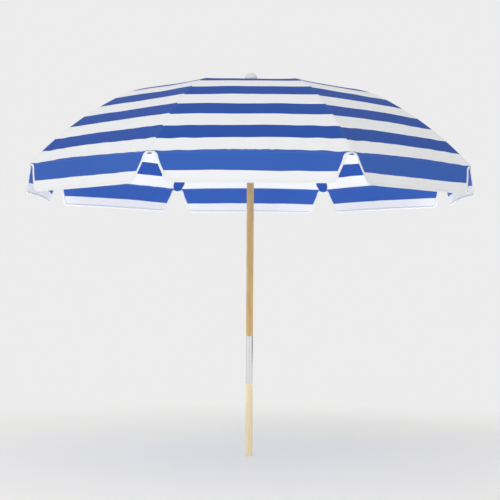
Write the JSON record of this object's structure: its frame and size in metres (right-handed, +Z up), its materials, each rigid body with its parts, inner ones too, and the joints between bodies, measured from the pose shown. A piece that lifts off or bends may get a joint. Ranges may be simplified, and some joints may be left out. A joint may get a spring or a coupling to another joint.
{
  "type": "beach umbrella",
  "caption": "Pull-apart wooden-pole beach umbrella with a domed, striped cloth canopy on folding steel ribs, a notched valance, a metal ferrule and a domed finial.",
  "frame": {"origin": "the buried point of the pole, on the pole's axis, open and standing", "axes": "+Z up along the pole; panels face +X, -X, +Y and -Y, and rib 1 stands 22.5 degrees from +X towards +Y"},
  "size_m": [2.113, 2.113, 2.348],
  "materials": {
    "wood": "satin varnish, light turned hardwood",
    "ferrule": "bright drawn tube",
    "screws": "bright",
    "hub_plastic": "moulded, satin",
    "finial": "moulded, soft gloss",
    "pin_steel": "plain zinc plated",
    "rib_steel": "white powder coat",
    "cloth": "woven canvas, blue and white stripes"
  },
  "bodies": {
    "lower_pole": {"lower_pole": "wood"},
    "upper_pole": {"upper_pole": "wood", "ferrule": "ferrule", "ferrule_screws": "screws", "crown_hub": "hub_plastic", "crown_pins": "pin_steel", "finial": "finial", "finial_screw": "pin_steel", "crown_patch": "cloth", "top_spring": "pin_steel"},
    "runner": {"runner": "hub_plastic", "runner_pins": "pin_steel"},
    "rib_1": {"rib_1": "rib_steel", "rivet_1": "pin_steel", "canopy_1": "cloth"},
    "stretcher_1": {"stretcher_1": "rib_steel"},
    "valance_1": {"valance_1": "cloth"},
    "rib_2": {"rib_2": "rib_steel", "rivet_2": "pin_steel", "canopy_2": "cloth"},
    "stretcher_2": {"stretcher_2": "rib_steel"},
    "valance_2": {"valance_2": "cloth"},
    "rib_3": {"rib_3": "rib_steel", "rivet_3": "pin_steel", "canopy_3": "cloth"},
    "stretcher_3": {"stretcher_3": "rib_steel"},
    "valance_3": {"valance_3": "cloth"},
    "rib_4": {"rib_4": "rib_steel", "rivet_4": "pin_steel", "canopy_4": "cloth"},
    "stretcher_4": {"stretcher_4": "rib_steel"},
    "valance_4": {"valance_4": "cloth"},
    "rib_5": {"rib_5": "rib_steel", "rivet_5": "pin_steel", "canopy_5": "cloth"},
    "stretcher_5": {"stretcher_5": "rib_steel"},
    "valance_5": {"valance_5": "cloth"},
    "rib_6": {"rib_6": "rib_steel", "rivet_6": "pin_steel", "canopy_6": "cloth"},
    "stretcher_6": {"stretcher_6": "rib_steel"},
    "valance_6": {"valance_6": "cloth"},
    "rib_7": {"rib_7": "rib_steel", "rivet_7": "pin_steel", "canopy_7": "cloth"},
    "stretcher_7": {"stretcher_7": "rib_steel"},
    "valance_7": {"valance_7": "cloth"},
    "rib_8": {"rib_8": "rib_steel", "rivet_8": "pin_steel", "canopy_8": "cloth"},
    "stretcher_8": {"stretcher_8": "rib_steel"},
    "valance_8": {"valance_8": "cloth"}
  },
  "joints": [
    {"name": "upper_lift", "type": "slide", "parent": "lower_pole", "child": "upper_pole", "axis": [0, 0, 1], "range_m": [0, 0.14]},
    {"name": "runner_slide", "type": "slide", "parent": "upper_pole", "child": "runner", "axis": [0, 0, -1], "range_m": [0, 0.63758], "deforming": ["top_spring"]},
    {"name": "rib_hinge_1", "type": "hinge", "parent": "upper_pole", "child": "rib_1", "pos_m": [0.02587, 0.01072, 2.29195], "axis": [-0.3827, 0.9239, 0], "range_deg": [0, 65.1], "deforming": ["canopy_1"]},
    {"name": "stretcher_hinge_1", "type": "hinge", "parent": "rib_1", "child": "stretcher_1", "pos_m": [0.47373, 0.19623, 2.22883], "axis": [-0.3827, 0.9239, 0], "range_deg": [-105.82, 0]},
    {"name": "valance_hinge_1", "type": "hinge", "parent": "rib_1", "child": "valance_1", "pos_m": [1.05599, 0.43741, 1.83], "axis": [-0.3827, 0.9239, 0], "range_deg": [-65.1, 0], "deforming": ["valance_1"]},
    {"name": "rib_hinge_2", "type": "hinge", "parent": "upper_pole", "child": "rib_2", "pos_m": [0.01072, 0.02587, 2.29195], "axis": [-0.9239, 0.3827, 0], "range_deg": [0, 65.1], "deforming": ["canopy_2"]},
    {"name": "stretcher_hinge_2", "type": "hinge", "parent": "rib_2", "child": "stretcher_2", "pos_m": [0.19623, 0.47373, 2.22883], "axis": [-0.9239, 0.3827, 0], "range_deg": [-105.82, 0]},
    {"name": "valance_hinge_2", "type": "hinge", "parent": "rib_2", "child": "valance_2", "pos_m": [0.43741, 1.05599, 1.83], "axis": [-0.9239, 0.3827, 0], "range_deg": [-65.1, 0], "deforming": ["valance_2"]},
    {"name": "rib_hinge_3", "type": "hinge", "parent": "upper_pole", "child": "rib_3", "pos_m": [-0.01072, 0.02587, 2.29195], "axis": [-0.9239, -0.3827, 0], "range_deg": [0, 65.1], "deforming": ["canopy_3"]},
    {"name": "stretcher_hinge_3", "type": "hinge", "parent": "rib_3", "child": "stretcher_3", "pos_m": [-0.19623, 0.47373, 2.22883], "axis": [-0.9239, -0.3827, 0], "range_deg": [-105.82, 0]},
    {"name": "valance_hinge_3", "type": "hinge", "parent": "rib_3", "child": "valance_3", "pos_m": [-0.43741, 1.05599, 1.83], "axis": [-0.9239, -0.3827, 0], "range_deg": [-65.1, 0], "deforming": ["valance_3"]},
    {"name": "rib_hinge_4", "type": "hinge", "parent": "upper_pole", "child": "rib_4", "pos_m": [-0.02587, 0.01072, 2.29195], "axis": [-0.3827, -0.9239, 0], "range_deg": [0, 65.1], "deforming": ["canopy_4"]},
    {"name": "stretcher_hinge_4", "type": "hinge", "parent": "rib_4", "child": "stretcher_4", "pos_m": [-0.47373, 0.19623, 2.22883], "axis": [-0.3827, -0.9239, 0], "range_deg": [-105.82, 0]},
    {"name": "valance_hinge_4", "type": "hinge", "parent": "rib_4", "child": "valance_4", "pos_m": [-1.05599, 0.43741, 1.83], "axis": [-0.3827, -0.9239, 0], "range_deg": [-65.1, 0], "deforming": ["valance_4"]},
    {"name": "rib_hinge_5", "type": "hinge", "parent": "upper_pole", "child": "rib_5", "pos_m": [-0.02587, -0.01072, 2.29195], "axis": [0.3827, -0.9239, 0], "range_deg": [0, 65.1], "deforming": ["canopy_5"]},
    {"name": "stretcher_hinge_5", "type": "hinge", "parent": "rib_5", "child": "stretcher_5", "pos_m": [-0.47373, -0.19623, 2.22883], "axis": [0.3827, -0.9239, 0], "range_deg": [-105.82, 0]},
    {"name": "valance_hinge_5", "type": "hinge", "parent": "rib_5", "child": "valance_5", "pos_m": [-1.05599, -0.43741, 1.83], "axis": [0.3827, -0.9239, 0], "range_deg": [-65.1, 0], "deforming": ["valance_5"]},
    {"name": "rib_hinge_6", "type": "hinge", "parent": "upper_pole", "child": "rib_6", "pos_m": [-0.01072, -0.02587, 2.29195], "axis": [0.9239, -0.3827, 0], "range_deg": [0, 65.1], "deforming": ["canopy_6"]},
    {"name": "stretcher_hinge_6", "type": "hinge", "parent": "rib_6", "child": "stretcher_6", "pos_m": [-0.19623, -0.47373, 2.22883], "axis": [0.9239, -0.3827, 0], "range_deg": [-105.82, 0]},
    {"name": "valance_hinge_6", "type": "hinge", "parent": "rib_6", "child": "valance_6", "pos_m": [-0.43741, -1.05599, 1.83], "axis": [0.9239, -0.3827, 0], "range_deg": [-65.1, 0], "deforming": ["valance_6"]},
    {"name": "rib_hinge_7", "type": "hinge", "parent": "upper_pole", "child": "rib_7", "pos_m": [0.01072, -0.02587, 2.29195], "axis": [0.9239, 0.3827, 0], "range_deg": [0, 65.1], "deforming": ["canopy_7"]},
    {"name": "stretcher_hinge_7", "type": "hinge", "parent": "rib_7", "child": "stretcher_7", "pos_m": [0.19623, -0.47373, 2.22883], "axis": [0.9239, 0.3827, 0], "range_deg": [-105.82, 0]},
    {"name": "valance_hinge_7", "type": "hinge", "parent": "rib_7", "child": "valance_7", "pos_m": [0.43741, -1.05599, 1.83], "axis": [0.9239, 0.3827, 0], "range_deg": [-65.1, 0], "deforming": ["valance_7"]},
    {"name": "rib_hinge_8", "type": "hinge", "parent": "upper_pole", "child": "rib_8", "pos_m": [0.02587, -0.01072, 2.29195], "axis": [0.3827, 0.9239, 0], "range_deg": [0, 65.1], "deforming": ["canopy_8"]},
    {"name": "stretcher_hinge_8", "type": "hinge", "parent": "rib_8", "child": "stretcher_8", "pos_m": [0.47373, -0.19623, 2.22883], "axis": [0.3827, 0.9239, 0], "range_deg": [-105.82, 0]},
    {"name": "valance_hinge_8", "type": "hinge", "parent": "rib_8", "child": "valance_8", "pos_m": [1.05599, -0.43741, 1.83], "axis": [0.3827, 0.9239, 0], "range_deg": [-65.1, 0], "deforming": ["valance_8"]}
  ],
  "couplings": [
    {"joint": "rib_hinge_1", "follows": "runner_slide", "rad_per_m": 1.7793},
    {"joint": "stretcher_hinge_1", "follows": "runner_slide", "rad_per_m": -2.8939},
    {"joint": "valance_hinge_1", "follows": "runner_slide", "rad_per_m": -1.7793},
    {"joint": "rib_hinge_2", "follows": "runner_slide", "rad_per_m": 1.7793},
    {"joint": "stretcher_hinge_2", "follows": "runner_slide", "rad_per_m": -2.8939},
    {"joint": "valance_hinge_2", "follows": "runner_slide", "rad_per_m": -1.7793},
    {"joint": "rib_hinge_3", "follows": "runner_slide", "rad_per_m": 1.7793},
    {"joint": "stretcher_hinge_3", "follows": "runner_slide", "rad_per_m": -2.8939},
    {"joint": "valance_hinge_3", "follows": "runner_slide", "rad_per_m": -1.7793},
    {"joint": "rib_hinge_4", "follows": "runner_slide", "rad_per_m": 1.7793},
    {"joint": "stretcher_hinge_4", "follows": "runner_slide", "rad_per_m": -2.8939},
    {"joint": "valance_hinge_4", "follows": "runner_slide", "rad_per_m": -1.7793},
    {"joint": "rib_hinge_5", "follows": "runner_slide", "rad_per_m": 1.7793},
    {"joint": "stretcher_hinge_5", "follows": "runner_slide", "rad_per_m": -2.8939},
    {"joint": "valance_hinge_5", "follows": "runner_slide", "rad_per_m": -1.7793},
    {"joint": "rib_hinge_6", "follows": "runner_slide", "rad_per_m": 1.7793},
    {"joint": "stretcher_hinge_6", "follows": "runner_slide", "rad_per_m": -2.8939},
    {"joint": "valance_hinge_6", "follows": "runner_slide", "rad_per_m": -1.7793},
    {"joint": "rib_hinge_7", "follows": "runner_slide", "rad_per_m": 1.7793},
    {"joint": "stretcher_hinge_7", "follows": "runner_slide", "rad_per_m": -2.8939},
    {"joint": "valance_hinge_7", "follows": "runner_slide", "rad_per_m": -1.7793},
    {"joint": "rib_hinge_8", "follows": "runner_slide", "rad_per_m": 1.7793},
    {"joint": "stretcher_hinge_8", "follows": "runner_slide", "rad_per_m": -2.8939},
    {"joint": "valance_hinge_8", "follows": "runner_slide", "rad_per_m": -1.7793}
  ]
}
